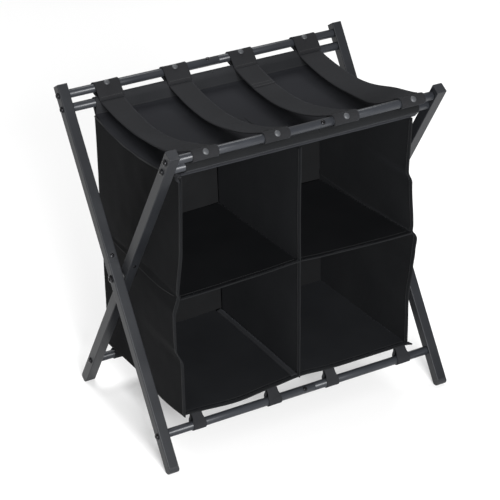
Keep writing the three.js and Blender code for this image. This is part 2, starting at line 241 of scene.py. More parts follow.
RIVET_METAL = coated(
    "gunmetal",
    (0.026, 0.028, 0.031),
    (0.038, 0.040, 0.044),
    roughness=0.52,
    metallic=0.15,
    grain=900.0,
    relief=0.00008,
)
CLOTH = woven(
    "black_cloth",
    (0.0040, 0.0041, 0.0044),
    (0.0060, 0.0062, 0.0066),
    thread=CLOTH_THREAD,
    rib=CLOTH_THREAD,
    roughness=0.8,
    sheen=0.02,
    relief=0.00009,
)
# Painted light: a lighter copy of the black cloth for the roof, which the light from above falls on; the
# roof is the same fabric as the walls.
LIT_ROOF_CLOTH = woven(
    "roof_cloth",
    (0.0080, 0.0083, 0.0099),
    (0.0110, 0.0114, 0.0134),
    thread=CLOTH_THREAD,
    rib=CLOTH_THREAD,
    roughness=0.8,
    sheen=0.025,
    relief=0.00009,
)
BOARD_CLOTH = woven(
    "board_cloth",
    (0.0050, 0.0053, 0.0060),
    (0.0072, 0.0076, 0.0085),
    thread=CLOTH_THREAD,
    rib=CLOTH_THREAD,
    roughness=0.75,
    sheen=0.02,
    relief=0.00007,
)
HEM_CLOTH = woven(
    "hem_cloth",
    (0.0090, 0.0094, 0.0104),
    (0.0150, 0.0155, 0.0170),
    thread=CLOTH_THREAD,
    rib=CLOTH_THREAD,
    roughness=0.78,
    sheen=0.03,
    relief=0.00022,
)
# Painted shade: a darker copy of the black cloth for the left wall; the right wall, of the same fabric,
# takes the plain black cloth.
SHADED_LEFT_WALL_CLOTH = woven(
    "side_cloth",
    (0.0023, 0.0024, 0.0026),
    (0.0038, 0.0039, 0.0042),
    thread=CLOTH_THREAD,
    rib=CLOTH_THREAD,
    roughness=0.86,
    sheen=0.008,
    relief=0.00012,
)
# Painted shade: a darker copy of the black cloth for the shelves, which lie in shade under the roof.
SHADED_SHELF_CLOTH = woven(
    "shelf_cloth",
    (0.0016, 0.0018, 0.0022),
    (0.0028, 0.0030, 0.0035),
    thread=CLOTH_THREAD,
    rib=CLOTH_THREAD,
    roughness=0.86,
    sheen=0.005,
    relief=0.00007,
)
EDGE_CLOTH = woven(
    "edge_cloth",
    (0.0040, 0.0043, 0.0047),
    (0.0064, 0.0067, 0.0072),
    thread=CLOTH_THREAD,
    rib=CLOTH_THREAD,
    roughness=0.78,
    sheen=0.03,
    relief=0.00012,
)
PIPING_CLOTH = woven(
    "piping_cloth",
    (0.016, 0.0163, 0.0165),
    (0.023, 0.0234, 0.0236),
    thread=CLOTH_THREAD,
    rib=CLOTH_THREAD,
    roughness=0.78,
    sheen=0.03,
    relief=0.00012,
)
WEBBING = woven(
    "black_webbing",
    (0.0086, 0.0088, 0.0096),
    (0.0125, 0.0127, 0.0138),
    thread=1.6 * MM,
    rib=2.4 * MM,
    roughness=0.85,
    sheen=0.02,
    relief=0.00028,
)
THREAD = coated(
    "black_thread",
    (0.0052, 0.0055, 0.0060),
    (0.0085, 0.0088, 0.0095),
    roughness=0.7,
    metallic=0.0,
    grain=3000.0,
    relief=0.0001,
)


# ---------------------------------------------------------------- making pieces
def finished(name, mesh, material, smooth=True, sharp_over=None):
    """A bmesh as an object with one material."""
    if sharp_over is not None:
        for edge in mesh.edges:
            edge.smooth = len(edge.link_faces) != 2 or edge.calc_face_angle(0) < sharp_over
    for face in mesh.faces:
        face.smooth = smooth
    data = bpy.data.meshes.new(name)
    mesh.to_mesh(data)
    mesh.free()
    data.materials.append(material)
    piece = bpy.data.objects.new(name, data)
    bpy.context.scene.collection.objects.link(piece)
    return piece


def smooth_step(value, start, end):
    share = min(max((value - start) / (end - start), 0), 1)
    return share * share * (3 - 2 * share)


def mix(a, b, share):
    return a + (b - a) * share


def drift(x, y, z, size, seed):
    """Soft unevenness from -1 to 1, with lumps about size across."""
    return noise.noise(Vector((x / size + seed, y / size - seed, z / size + 2 * seed)))


def cloth(name, place, cut, steps, thickness, material, closed=False):
    """A sheet of cloth laid over place(u, v), with u and v from 0 to 1, cut being its flat size."""
    mesh = bmesh.new()
    uv = mesh.loops.layers.uv.new("cut")
    bmesh.ops.create_grid(mesh, x_segments=steps[0], y_segments=steps[1], size=0.5)
    for face in mesh.faces:
        for corner in face.loops:
            point = corner.vert.co
            corner[uv].uv = ((point.x + 0.5) * cut[0], (point.y + 0.5) * cut[1])
    for vert in mesh.verts:
        vert.co = place(vert.co.x + 0.5, vert.co.y + 0.5)
    if closed:
        bmesh.ops.remove_doubles(mesh, verts=mesh.verts, dist=1e-5)
    bmesh.ops.recalc_face_normals(mesh, faces=mesh.faces)
    piece = finished(name, mesh, material)
    shell = piece.modifiers.new("thickness", "SOLIDIFY")
    shell.thickness = thickness
    shell.offset = 0
    return piece


STITCH = 3.2 * MM
STITCH_PITCH = 4.6 * MM
THREAD_WIDTH = 0.75 * MM


def surface_at(place, u, v):
    """A point of a cloth surface and its normal."""
    small = 0.004
    along = (place(u + small, v) - place(u - small, v)).normalized()
    up = (place(u, v + small) - place(u, v - small)).normalized()
    return place(u, v), along.cross(up).normalized()


def sew(mesh, place, start, end, lift, both=True):
    """A row of stitches over a cloth surface from one (u, v) to another."""
    samples = [Vector(start).lerp(Vector(end), i / 24) for i in range(25)]
    points = [place(*s) for s in samples]
    length = sum((b - a).length for a, b in zip(points, points[1:]))
    count = max(int(length / STITCH_PITCH), 1)
    for i in range(count):
        share = (i + 0.5) / count
        spot = Vector(start).lerp(Vector(end), share)
        near = Vector(start).lerp(Vector(end), min(share + 0.01, 1))
        back = Vector(start).lerp(Vector(end), max(share - 0.01, 0))
        point, normal = surface_at(place, *spot)
        tangent = (place(*near) - place(*back)).normalized()
        side = normal.cross(tangent).normalized()
        for face in ((1, -1) if both else (1,)):
            turn = Matrix((tangent * STITCH, side * THREAD_WIDTH, normal * THREAD_WIDTH)).transposed()
            spot_matrix = Matrix.Translation(point + normal * lift * face) @ turn.to_4x4()
            bmesh.ops.create_cube(mesh, size=1, matrix=spot_matrix)


def turned(mesh, profile, place, sides=28, six_from=None):
    """A body turned about local Z from (radius, height) corners, six-sided from one corner on."""
    ring = bmesh.ops.create_circle(mesh, segments=sides, radius=1)["verts"]
    edges = list({edge for vert in ring for edge in vert.link_edges})
    made = set(ring)
    bottom = edges
    for step, (radius, height) in enumerate(profile):
        if step:
            grown = bmesh.ops.extrude_edge_only(mesh, edges=edges)["geom"]
            ring = [part for part in grown if isinstance(part, bmesh.types.BMVert)]
            edges = [part for part in grown if isinstance(part, bmesh.types.BMEdge)]
            made.update(ring)
        for vert in ring:
            angle = math.atan2(vert.co.y, vert.co.x)
            reach = radius
            if six_from is not None and step >= six_from:
                sixth = math.pi / 3
                reach = radius / math.cos((angle % sixth) - sixth / 2)
            vert.co = Vector((reach * math.cos(angle), reach * math.sin(angle), height))
    bmesh.ops.edgeloop_fill(mesh, edges=bottom)
    bmesh.ops.edgeloop_fill(mesh, edges=edges)
    faces = list({face for vert in made for face in vert.link_faces})
    bmesh.ops.recalc_face_normals(mesh, faces=faces)
    bmesh.ops.transform(mesh, matrix=place, verts=list(made))


def facing(point, direction):
    """A placement whose Z runs along direction, starting at point."""
    return Matrix.Translation(point) @ Vector(direction).to_track_quat("Z", "Y").to_matrix().to_4x4()


# ---------------------------------------------------------------- frame: paint, rods and fasteners
BODY_OF = {"a": "frame_a", "b": "frame_b"}
RODS_OF = {
    "a": ("rear_upper", "rear_lower", "front_bottom"),
    "b": ("front_upper", "front_lower", "rear_bottom"),
}


def paint(node_name, material):
    piece = frame["nodes"][node_name]
    piece.data.materials.clear()
    piece.data.materials.append(material)


ROD_SIDES = 48
ROD_EDGE = 0.5 * MM


def rod_tube(name, body):
    low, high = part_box(name)
    y, z = axis_of(name)
    radius = (high.z - low.z) / 2
    start = low.x
    if name.endswith("right"):
        # The spigot is inside the left tube, so the visible tube starts at the left one's end.
        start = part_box(name.replace("right", "left"))[1].x + 0.3 * MM
    mesh = bmesh.new()
    length = high.x - start
    profile = [
        (radius - ROD_EDGE, 0),
        (radius, ROD_EDGE),
        (radius, length - ROD_EDGE),
        (radius - ROD_EDGE, length),
    ]
    turned(mesh, profile, facing((start, y, z), (1, 0, 0)), ROD_SIDES)
    piece = finished(name + "_tube", mesh, PAINT, sharp_over=math.radians(60))
    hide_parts(name)
    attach(piece, body)


def socket_head(mesh, seat, direction, radius, height):
    """A low round head with a hexagon socket."""
    profile = [
        (radius * 0.94, 0),
        (radius, height * 0.12),
        (radius, height * 0.45),
        (radius * 0.9, height * 0.75),
        (radius * 0.7, height * 0.95),
        (radius * 0.55, height),
        (radius * 0.42, height),
        (radius * 0.42, height * 0.35),
    ]
    turned(mesh, profile, facing(seat, direction), 24, six_from=6)


def washer(mesh, seat, direction, radius, height):
    profile = [
        (radius - height / 3, 0),
        (radius, height / 3),
        (radius, height * 0.7),
        (radius * 0.96, height),
    ]
    turned(mesh, profile, facing(seat, direction), 28)


def rod_screw(name, body):
    low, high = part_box(name)
    y, z = axis_of(name)
    radius = (high.z - low.z) / 2
    outward = -1 if name.endswith("left") else 1
    seat = low.x + 3 * MM if outward < 0 else high.x - 3 * MM
    mesh = bmesh.new()
    washer(mesh, (seat - outward * 0.25 * MM, y, z), (outward, 0, 0), radius * 1.02, 0.8 * MM)
    socket_head(mesh, (seat + outward * 0.45 * MM, y, z), (outward, 0, 0), radius * 0.9, 2.6 * MM)
    inner = high.x if outward < 0 else low.x
    shank = abs(inner - seat)
    turned(
        mesh,
        [(3 * MM, 0), (3 * MM, shank)],
        facing((inner, y, z), (outward, 0, 0)),
        16,
    )
    piece = finished(name + "_head", mesh, BLACK_ZINC, sharp_over=math.radians(35))
    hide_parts(name)
    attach(piece, body)


def pivot_bolt(side):
    name = "pivot_bolt_" + side
    low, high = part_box(name)
    y, z = axis_of(name)
    outward = -1 if side == "left" else 1
    outer = low.x if outward < 0 else high.x
    inner = high.x if outward < 0 else low.x
    seat = outer - outward * 3.5 * MM
    mesh = bmesh.new()
    washer(mesh, (seat - outward * 0.25 * MM, y, z), (outward, 0, 0), 7.3 * MM, 0.9 * MM)
    socket_head(mesh, (seat + outward * 0.5 * MM, y, z), (outward, 0, 0), 6.6 * MM, 3.2 * MM)
    length = abs(outer - inner) - 3.5 * MM
    turned(mesh, [(3.9 * MM, 0), (3.9 * MM, length)], facing((inner, y, z), (outward, 0, 0)), 20)
    nut = [(5.6 * MM, 0), (6.4 * MM, 0.7 * MM), (6.4 * MM, 4.8 * MM), (5.6 * MM, 5.4 * MM)]
    turned(mesh, nut, facing((inner, y, z), (outward, 0, 0)), 24, six_from=0)
    piece = finished(name + "_set", mesh, BLACK_ZINC, sharp_over=math.radians(30))
    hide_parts(name)
    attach(piece, "pivot_core")


def leg_direction(letter):
    """Unit vectors up the leg and out of its front face."""
    low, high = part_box(f"leg_{letter}_left_upper")
    y = (low.y + high.y) / 2
    z = (low.z + high.z) / 2 - PIVOT_Z
    up = Vector((0, y, z)).normalized()
    return up, Vector((0, -up.z, up.y))


LEG_HALF = 9 * MM
LEG_SCREW_UP = 40 * MM
ROD_SCREW_FROM_JOINT = 21.5 * MM


def small_screws(letter):
    """The screws through the legs' joints and the rods' joints, on one frame."""
    body = BODY_OF[letter]
    mesh = bmesh.new()
    up, out = leg_direction(letter)
    for side in ("left", "right"):
        low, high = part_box(f"leg_{letter}_{side}_upper")
        x = (low.x + high.x) / 2
        seat = Vector((x, 0, PIVOT_Z)) + up * LEG_SCREW_UP + out * LEG_HALF
        washer(mesh, seat - out * 0.2 * MM, out, 4.6 * MM, 0.7 * MM)
        socket_head(mesh, seat + out * 0.4 * MM, out, 3.9 * MM, 1.7 * MM)
    for rod in RODS_OF[letter]:
        y, z = axis_of(rod + "_rod_left")
        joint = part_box(rod + "_rod_left")[1].x
        toward = Vector((0, -0.8, 0.6))
        if rod.startswith("rear"):
            toward = Vector((0, -0.35, 0.94))
        seat = Vector((joint - ROD_SCREW_FROM_JOINT, y, z)) + toward * 7.6 * MM
        washer(mesh, seat, toward, 4.4 * MM, 0.8 * MM)
        socket_head(mesh, seat + toward * 0.6 * MM, toward, 3.5 * MM, 1.5 * MM)
    piece = finished(f"joint_screws_{letter}", mesh, BLACK_ZINC, sharp_over=math.radians(35))
    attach(piece, body)


for letter, body in BODY_OF.items():
    for side in ("left", "right"):
        # The legs take the darker copy of the powder coat: painted shade.
        paint(f"leg_{letter}_{side}_upper", SHADED_LEG_PAINT)
        paint(f"leg_{letter}_{side}_lower", SHADED_LEG_PAINT)
        paint(f"top_plug_{letter}_{side}", CAP)
        paint(f"foot_cap_{letter}_{side}", CAP)
    for rod in RODS_OF[letter]:
        for side in ("left", "right"):
            rod_tube(f"{rod}_rod_{side}", body)
            rod_screw(f"{rod}_screw_{side}", body)
    small_screws(letter)
for side in ("left", "right"):
    pivot_bolt(side)
    paint("pivot_spacer_" + side, NYLON)


# ---------------------------------------------------------------- loops of cloth round a rod
class Loop:
    """A drop-shaped path in the YZ plane: round a rod and to a sewn tip."""

    def __init__(self, centre, radius, tip, mouth):
        centre = Vector(centre)
        tip = Vector(tip)
        away = tip - centre
        reach = away.length
        middle = math.atan2(away.y, away.x)
        open_angle = math.acos(radius / reach)
        side = Vector((-away.y, away.x)).normalized() * mouth / 2
        start = middle + open_angle
        sweep = 2 * math.pi - 2 * open_angle
        arc = [
            centre + radius * Vector((math.cos(start + sweep * i / 40), math.sin(start + sweep * i / 40)))
            for i in range(41)
        ]
        line = [(tip + side).lerp(arc[0], i / 8) for i in range(8)]
        back = [arc[-1].lerp(tip - side, i / 8) for i in range(1, 9)]
        self.points = line + arc + back + [tip + side]
        self.lengths = [0.0]
        for a, b in zip(self.points, self.points[1:]):
            self.lengths.append(self.lengths[-1] + (b - a).length)
        self.total = self.lengths[-1]

    def at(self, share):
        """The point a share of the way round."""
        goal = (share % 1.0 if not 0 <= share <= 1 else share) * self.total
        for i in range(1, len(self.points)):
            if goal <= self.lengths[i] or i == len(self.points) - 1:
                gap = self.lengths[i] - self.lengths[i - 1]
                part = (goal - self.lengths[i - 1]) / gap if gap > 0 else 0
                return self.points[i - 1].lerp(self.points[i], part)
        return self.points[-1]


ENDS = {"front": -1, "rear": 1}
FRAME_WITH = {"front": "frame_b", "rear": "frame_a"}


def hang(piece):
    """A soft piece, attached to the fabric body with a mesh of its own."""
    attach(piece, "fabric")
    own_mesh(piece)


# ---------------------------------------------------------------- straps
STRAP_HALF = 25 * MM
STRAP_THICK = 1.7 * MM
LOOP_RADIUS = 9.3 * MM
LOOP_TIP_IN = {"front": 16.5 * MM, "rear": 24 * MM}
LOOP_TIP_UP = {"front": 2 * MM, "rear": -15.5 * MM}
STRAP_SAG = 38.2 * MM
LOWEST_Y = 25 * MM
SPAN_NARROW = 0.94
SPAN_LIFTS = (0.5 * MM, -0.5 * MM, 1.0 * MM, 3.5 * MM)
SPAN_TILTS = (-2.5 * MM, 0.5 * MM, 0.5 * MM, 3.5 * MM)
FRONT_TWISTS = (4 * MM, 0, 1 * MM, 8 * MM)
FRONT_TWIST_Y = -95 * MM
FRONT_TWIST_REACH = 52 * MM
STRAP_MIDDLES = [(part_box(f"strap_{i}")[0].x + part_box(f"strap_{i}")[1].x) / 2 for i in (1, 2, 3, 4)]
ROD_Y, ROD_Z = axis_of("rear_upper_rod_left")
SPAN_REAR_Y = ROD_Y - LOOP_TIP_IN["rear"] + 6 * MM
SPAN_REAR_Z = ROD_Z + LOOP_TIP_UP["rear"] - 1 * MM
SPAN_FRONT_Y = -(ROD_Y - LOOP_TIP_IN["front"] + 3 * MM)
SPAN_FRONT_Z = ROD_Z + LOOP_TIP_UP["front"] + 2.6 * MM
SPAN_LOW_Z = ROD_Z - STRAP_SAG
loop_thread = {"front": bmesh.new(), "rear": bmesh.new()}
rivets = {"front": bmesh.new(), "rear": bmesh.new()}


def span_height(y):
    """The strap drops steeply from the rear rod and rises gently to the front one."""
    if y > LOWEST_Y:
        share = (y - LOWEST_Y) / (SPAN_REAR_Y - LOWEST_Y)
        return mix(SPAN_LOW_Z, SPAN_REAR_Z, share**2)
    share = (LOWEST_Y - y) / (LOWEST_Y - SPAN_FRONT_Y)
    return mix(SPAN_LOW_Z, SPAN_FRONT_Z, share**1.8)


def gather(piece):
    """A strap's span, attached to the fabric body with a mesh of its own."""
    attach(piece, "fabric")
    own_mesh(piece)


def strap_span(number, middle):
    seed = 3.7 * number

    def place(u, v):
        y = mix(SPAN_FRONT_Y, SPAN_REAR_Y, v)
        slack = 4 * v * (1 - v)
        sway = 1.6 * MM * drift(0, y, 0, 0.12, seed) * slack
        x = middle + (2 * u - 1) * STRAP_HALF * SPAN_NARROW + sway
        curl = 0.9 * MM * (2 * u - 1) ** 2 * slack
        tilt = (SPAN_TILTS[number - 1] + 1.2 * MM * drift(0, y, 0, 0.16, seed + 9)) * (2 * u - 1) * slack
        wave = 0.5 * MM * drift(x, y, 0, 0.05, seed + 4)
        twist = FRONT_TWISTS[number - 1] * math.exp(-(((y - FRONT_TWIST_Y) / FRONT_TWIST_REACH) ** 2))
        tilt += twist * (2 * u - 1) - 0.3 * twist
        return Vector((x, y, span_height(y) + SPAN_LIFTS[number - 1] * slack + curl + tilt + wave))

    reach = SPAN_REAR_Y - SPAN_FRONT_Y
    length = reach * (1 + 8 / 3 * (STRAP_SAG / reach) ** 2)
    cut = (2 * STRAP_HALF * SPAN_NARROW, length)
    piece = cloth(f"strap_{number}_span", place, cut, (14, 90), STRAP_THICK, WEBBING)
    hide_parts(f"strap_{number}")
    gather(piece)


def strap_loop(number, middle, end):
    side = ENDS[end]
    seed = 5.1 * number + side
    path = Loop(
        (side * ROD_Y, ROD_Z),
        LOOP_RADIUS,
        (side * (ROD_Y - LOOP_TIP_IN[end]), ROD_Z + LOOP_TIP_UP[end]),
        2.4 * MM,
    )

    def place(u, v):
        point = path.at(v)
        x = middle + (2 * u - 1) * STRAP_HALF
        away = (point - Vector((side * ROD_Y, ROD_Z))).normalized()
        lift = 0.35 * MM * abs(2 * u - 1) ** 3 + 0.25 * MM * drift(x, point.x, point.y, 0.02, seed)
        return Vector((x, point.x + away.x * lift, point.y + away.y * lift))

    cut = (2 * STRAP_HALF, path.total)
    piece = cloth(f"strap_{number}_loop_{end}", place, cut, (12, 58), STRAP_THICK, WEBBING, closed=True)
    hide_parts(f"strap_{number}")
    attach(piece, FRAME_WITH[end])
    return place, path


def add_rivet(mesh, middle, end):
    side = ENDS[end]
    toward = Vector((0, -0.55, 0.835)) if end == "rear" else Vector((0, -0.78, 0.626))
    seat = Vector((middle, side * ROD_Y, ROD_Z)) + toward * (LOOP_RADIUS + STRAP_THICK / 2 - 0.5 * MM)
    skirt = [(5.3 * MM, 0), (5.7 * MM, 0.5 * MM), (5.4 * MM, 1.1 * MM), (4.6 * MM, 1.7 * MM)]
    dome = [(3.4 * MM, 2.1 * MM), (1.8 * MM, 2.35 * MM), (0.6 * MM, 2.4 * MM)]
    turned(mesh, skirt + dome, facing(seat, toward), 32)


for number, middle in enumerate(STRAP_MIDDLES, start=1):
    strap_span(number, middle)
    for end in ENDS:
        place, path = strap_loop(number, middle, end)
        thread = loop_thread[end]
        top_row = 3.6 * MM / path.total
        high, low = (top_row, 1 - top_row - 2.4 * MM / path.total)
        for share in (high, low, high + 4.2 * MM / path.total):
            sew(thread, place, (0.06, share), (0.94, share), STRAP_THICK / 2)
        add_rivet(rivets[end], middle, end)

for end in ENDS:
    stitching = finished(f"strap_stitching_{end}", loop_thread[end], THREAD, smooth=False)
    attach(stitching, FRAME_WITH[end])
    studs = finished(f"strap_rivets_{end}", rivets[end], RIVET_METAL, sharp_over=math.radians(50))
    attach(studs, FRAME_WITH[end])


# Strap 3 is sewn together from two lengths: a second layer ends in a seam on its rear part.
def strap_patch():
    middle = STRAP_MIDDLES[2]
    start_y, end_y = 0.088, SPAN_REAR_Y - 2 * MM

    def place(u, v):
        y = mix(start_y, end_y, v)
        x = middle + (2 * u - 1) * STRAP_HALF * SPAN_NARROW * 1.01
        return Vector((x, y, span_height(y) + 2.2 * MM + 0.6 * MM * (2 * u - 1) ** 2))

    cut = (2 * STRAP_HALF * SPAN_NARROW, (end_y - start_y) * 1.06)
    piece = cloth("strap_3_second_layer", place, cut, (12, 24), STRAP_THICK, WEBBING)
    gather(piece)
    mesh = bmesh.new()
    for share in (0.03, 0.16):
        sew(mesh, place, (0.04, share), (0.96, share), STRAP_THICK / 2, both=False)
    seam = finished("strap_3_seam", mesh, THREAD, smooth=False)
    gather(seam)


strap_patch()

# ---------------------------------------------------------------- organiser
CLOTH_THICK = 1.3 * MM
BOARD_THICK = 1.8 * MM
HEM_THICK = 1.8 * MM
HEM_WIDTH = 9 * MM
LEAST_CUT = 10 * MM
SLEEVE_TIP_IN = 4 * MM
SLEEVE_TIP_DROP = {"front": 13.5 * MM, "rear": 24 * MM}
SLEEVE_RADIUS = 9.2 * MM
organizer_thread = bmesh.new()
sleeve_thread = {"front": bmesh.new(), "rear": bmesh.new()}
LOW_ROD_Y, LOW_ROD_Z = axis_of("rear_lower_rod_left")
# Painted shade: the front sleeve takes the darker edge cloth and the rear sleeve the lighter hem cloth,
# though both sleeves are one fabric.
SLEEVE_CLOTH_FRONT_SHADED = {"front": EDGE_CLOTH, "rear": HEM_CLOTH}


def sleeve(end):
    side = ENDS[end]
    seed = 2.3 + side
    path = Loop(
        (side * LOW_ROD_Y, LOW_ROD_Z),
        SLEEVE_RADIUS,
        (side * (LOW_ROD_Y - SLEEVE_TIP_IN), LOW_ROD_Z - SLEEVE_TIP_DROP[end]),
        1.8 * MM,
    )

    def place(u, v):
        point = path.at(v)
        x = mix(-HALF_WIDTH + 4 * MM, HALF_WIDTH - 5 * MM, u)
        below = max(LOW_ROD_Z - point.y, 0) / SLEEVE_TIP_DROP[end]
        dip = 1.3 * MM * drift(x, 0, 0, 0.075, seed) * below
        ruck = 0.9 * MM * drift(x, point.y, point.x, 0.022, seed + 3) * below
        return Vector((x, point.x + ruck, point.y + dip))

    cut = (2 * HALF_WIDTH - 6 * MM, path.total)
    name = "sleeve_" + end + "_cloth"
    # The front sleeve's cloth is the darker copy: painted shade.
    piece = cloth(name, place, cut, (150, 57), CLOTH_THICK, SLEEVE_CLOTH_FRONT_SHADED[end], closed=True)
    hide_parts("sleeve_" + end)
    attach(piece, FRAME_WITH[end])
    row = 4.5 * MM / path.total
    for share in (row, 1 - row - 1.8 * MM / path.total):
        sew(sleeve_thread[end], place, (0.01, share), (0.99, share), CLOTH_THICK / 2)


for end in ENDS:
    sleeve(end)
    stitching = finished(f"sleeve_stitching_{end}", sleeve_thread[end], THREAD, smooth=False)
    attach(stitching, FRAME_WITH[end])


ROOF_LOW_Y = 8 * MM
ROOF_LOW_Z = LOW_ROD_Z - 40 * MM
ROOF_BEND = 0.7


def roof_line(y):
    """Height of the roof's cloth at its side edges."""
    return ROOF_LOW_Z + ROOF_BEND * (y - ROOF_LOW_Y) ** 2


def roof_place(u, v):
    x = mix(-HALF_WIDTH, HALF_WIDTH, u) * (1 - 0.018 * smooth_step(v, 0.85, 1))
    reach = TOP_Y - SLEEVE_TIP_IN
    y = mix(-reach, reach, v)
    edge = 1 - abs(2 * v - 1)
    pucker = 1.3 * MM * drift(x, 0, 0, 0.03, 1.7) * math.exp(-edge * 9) * min(edge * 12, 1)
    slack = 3.2 * MM * drift(x, y, 0, 0.16, 4.2) * edge
    sides = min(min(u, 1 - u) * 14, 1)
    turned_up = (6 * MM if v < 0.5 else 2.5 * MM) * (1 - smooth_step(edge, 0, 0.05))
    return Vector((x, y, roof_line(y) + turned_up - 2.2 * MM * sides * edge + slack * sides + pucker))


# The roof takes the lighter copy of the cloth: painted light.
roof = cloth(
    "roof_cloth",
    roof_place,
    (2 * HALF_WIDTH, 2 * TOP_Y),
    (130, 90),
    CLOTH_THICK,
    LIT_ROOF_CLOTH,
)
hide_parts("roof_panel")
hang(roof)


def under_edge(y):
    """How far the side walls' bottom edges hang below the floor."""
    return 3 * MM + 10 * MM * math.exp(-(((y + 0.065) / 0.075) ** 2))


def edge_y(v):
    """How far the front and rear edges are from the middle, v from the floor to the top."""
    return mix(FOOT_Y, TOP_Y - SLEEVE_TIP_IN, v)


def left_bulge(z):
    """How far the left wall's front edge stands out, by height above the pivot."""
    return MM * (
        3 * smooth_step(-z, -0.250, -0.110)
        + 9 * smooth_step(-z, -0.110, -0.012)
        + 8 * smooth_step(-z, -0.012, 0.017)
        - 14 * smooth_step(-z, 0.083, 0.120)
        - 2 * smooth_step(-z, 0.120, 0.211)
    )


def right_bulge(z):
    return MM * (
        -11
        - 4 * smooth_step(-z, -0.246, -0.142)
        + 9 * smooth_step(-z, -0.142, -0.118)
        + 6 * smooth_step(-z, -0.118, -0.024)
        + 10 * smooth_step(-z, -0.024, 0.001)
        - 3 * smooth_step(-z, 0.001, 0.024)
        - 4 * smooth_step(-z, 0.024, 0.062)
        - 8 * smooth_step(-z, 0.062, 0.120)
    )


BULGES = {"left": left_bulge, "right": right_bulge}
SIDES = {"left": -1, "right": 1}
REAR_NARROWING = 1.5 * MM
WALL_TOP_GAP = 1.2 * MM


def wall_x(side, y, z):
    """Where a side wall's cloth is, at a place along the depth and a height."""
    depth = (y + TOP_Y) / (2 * TOP_Y)
    front = BULGES[side](z - PIVOT_Z) * (1 - min(max(depth, 0), 1)) ** 2.2
    slack = 2.6 * MM * drift(y, z, 0, 0.11, 6.0 + SIDES[side]) + 1.0 * MM * drift(y, z, 0, 0.035, 8.0)
    slack *= 4 * min(max(depth, 0), 1) * (1 - min(max(depth, 0), 1)) * 0.8 + 0.2
    pinch = 2.2 * MM * math.exp(-(((z - SHELF_Z + 2 * MM) / (5 * MM)) ** 2))
    return SIDES[side] * (HALF_WIDTH - 1 * MM - REAR_NARROWING * depth + front + slack - pinch)


def side_place(side):
    def place(u, v):
        y = edge_y(v) * (2 * u - 1)
        foot = BASE_Z - under_edge(y) * (1 if side == "left" else 0.4)
        z = foot + v * (roof_line(y) - WALL_TOP_GAP - foot)
        return Vector((wall_x(side, y, z), y, z))

    return place


def divider_x(y, z):
    depth = (y + TOP_Y) / (2 * TOP_Y)
    wave = 1.5 * MM * drift(y, z, 0, 0.12, 11.0) + 0.8 * MM * drift(y, z, 0, 0.04, 12.0)
    return mix(-4 * MM, 9 * MM, depth) + wave


def divider_place(u, v):
    y = mix(-edge_y(v), edge_y(v) - 3 * MM, u)
    z = BASE_Z + 2 * MM + v * (roof_line(y) - 4 * MM - BASE_Z)
    return Vector((divider_x(y, z), y, z))


CREASE_DEPTH = 0.8 * MM
CREASE_WIDTH = 5 * MM
CREASE_LINES = (-0.135, -0.09, 0.11, 0.20)


def rear_place(u, v):
    x = mix(-HALF_WIDTH + REAR_NARROWING, HALF_WIDTH - REAR_NARROWING, u)
    z = mix(BASE_Z - 3 * MM, TOP_Z - 1 * MM, v)
    inside = 16 * u * (1 - u) * v * (1 - v)
    slack = 3.0 * MM * drift(x, z, 0, 0.13, 14.0) + 1.2 * MM * drift(x, z, 0, 0.04, 15.0)
    slant = (x - z + PIVOT_Z) / 1.414
    creases = sum(CREASE_DEPTH * math.exp(-(((slant - at) / CREASE_WIDTH) ** 2)) for at in CREASE_LINES)
    bay = smooth_step(abs(x), 0.0, 0.03) * max(0.0, drift(x, z, 0, 0.09, 16.0) + 0.35)
    return Vector((x, edge_y(v) - 2 * MM + (slack - creases * bay) * min(inside * 2, 1), z))


def shelf_place(side):
    outward = SIDES[side]

    def place(u, v):
        # u from the side wall to the divider, v from the front to the rear.
        y = mix(-edge_y(0.5) + 0.5 * MM, edge_y(0.5) - 3 * MM, v)
        near = wall_x(side, y, SHELF_Z) - outward * 0.8 * MM
        far = divider_x(y, SHELF_Z) + outward * 1.0 * MM
        front = mix(14 * MM, 22 * MM, u)
        rear = mix(5 * MM, 10 * MM, u) if outward < 0 else mix(2 * MM, 9 * MM, u)
        sag = 2.2 * MM * math.sin(math.pi * u) * (1 - v * 0.5) * (0.4 if outward < 0 else 1)
        slack = 0.8 * MM * drift(u * 0.24, y, 0, 0.07, 17.0 + outward)
        return Vector((mix(near, far, u), y, PIVOT_Z + mix(front, rear, v) - sag + slack))

    return place


FLAP = 11 * MM
LEFT_SAG = 7 * MM
LEFT_SAG_X = -0.135
LEFT_SAG_REACH = 0.055
SIDE_SAG_REACH = 0.045
MIDDLE_RISE = 5 * MM
MIDDLE_RISE_REACH = 0.04


def floor_place(u, v):
    x = mix(-HALF_WIDTH, HALF_WIDTH, u)
    y = mix(-FOOT_Y, FOOT_Y, v)
    edge = 1 - v
    left_sag = LEFT_SAG * math.exp(-(((x - LEFT_SAG_X) / LEFT_SAG_REACH) ** 2)) * edge
    side_sag = 0.8 * under_edge(y) * math.exp(-(((x + HALF_WIDTH) / SIDE_SAG_REACH) ** 2))
    side_sag *= min(edge * 6, 1) * min(v * 12, 1)
    middle_rise = MIDDLE_RISE * math.exp(-((x / MIDDLE_RISE_REACH) ** 2)) * mix(0.4, 1, edge)
    z = BASE_Z + 0.5 * MM - left_sag - side_sag + middle_rise + 0.8 * MM * drift(x, y, 0, 0.06, 19.0)
    x_edge = wall_x("left", y, BASE_Z) if u < 0.5 else wall_x("right", y, BASE_Z)
    x = mix(x, x_edge, abs(2 * u - 1) ** 6)
    corner = math.exp(-((1 - u) * 40) ** 2 - (v * 26) ** 2)
    return Vector((x + FLAP * corner, y - 2 * MM * corner, z - 3 * MM * corner))


def panel(name, place, cut, steps, material, thickness, replaces=()):
    piece = cloth(name, place, cut, steps, thickness, material)
    if replaces:
        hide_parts(*replaces)
    hang(piece)


